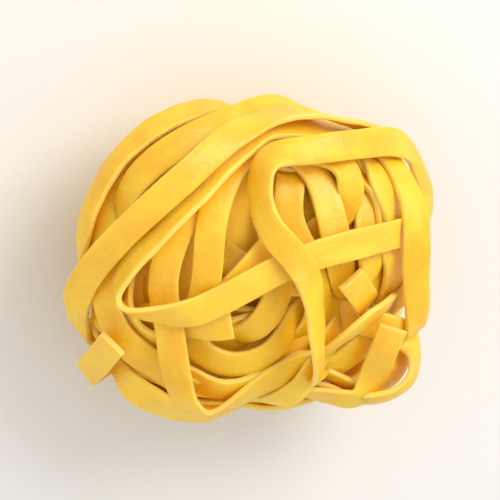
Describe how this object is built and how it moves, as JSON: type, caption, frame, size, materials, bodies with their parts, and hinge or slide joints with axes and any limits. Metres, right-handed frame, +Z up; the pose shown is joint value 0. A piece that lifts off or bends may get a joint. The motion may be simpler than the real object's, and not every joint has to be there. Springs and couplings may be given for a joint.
{
  "type": "dry pasta nest",
  "caption": "Hand-sized nest of flat egg pasta ribbons, wound loosely round an open top and dried stiff, resting on its flattened underside.",
  "frame": {"origin": "centre of the flat spot under the nest that it rests on", "axes": "+Z up out of the nest's open top, +X along its longest side, +Y across it"},
  "size_m": [0.071, 0.0637, 0.0422],
  "materials": {
    "dry_egg_pasta": "matt, slightly see-through dried egg dough, warm yellow, paler at the cut edges and deeper amber between the ribbons"
  },
  "bodies": {
    "root": {"pasta_nest": "dry_egg_pasta"}
  },
  "joints": []
}
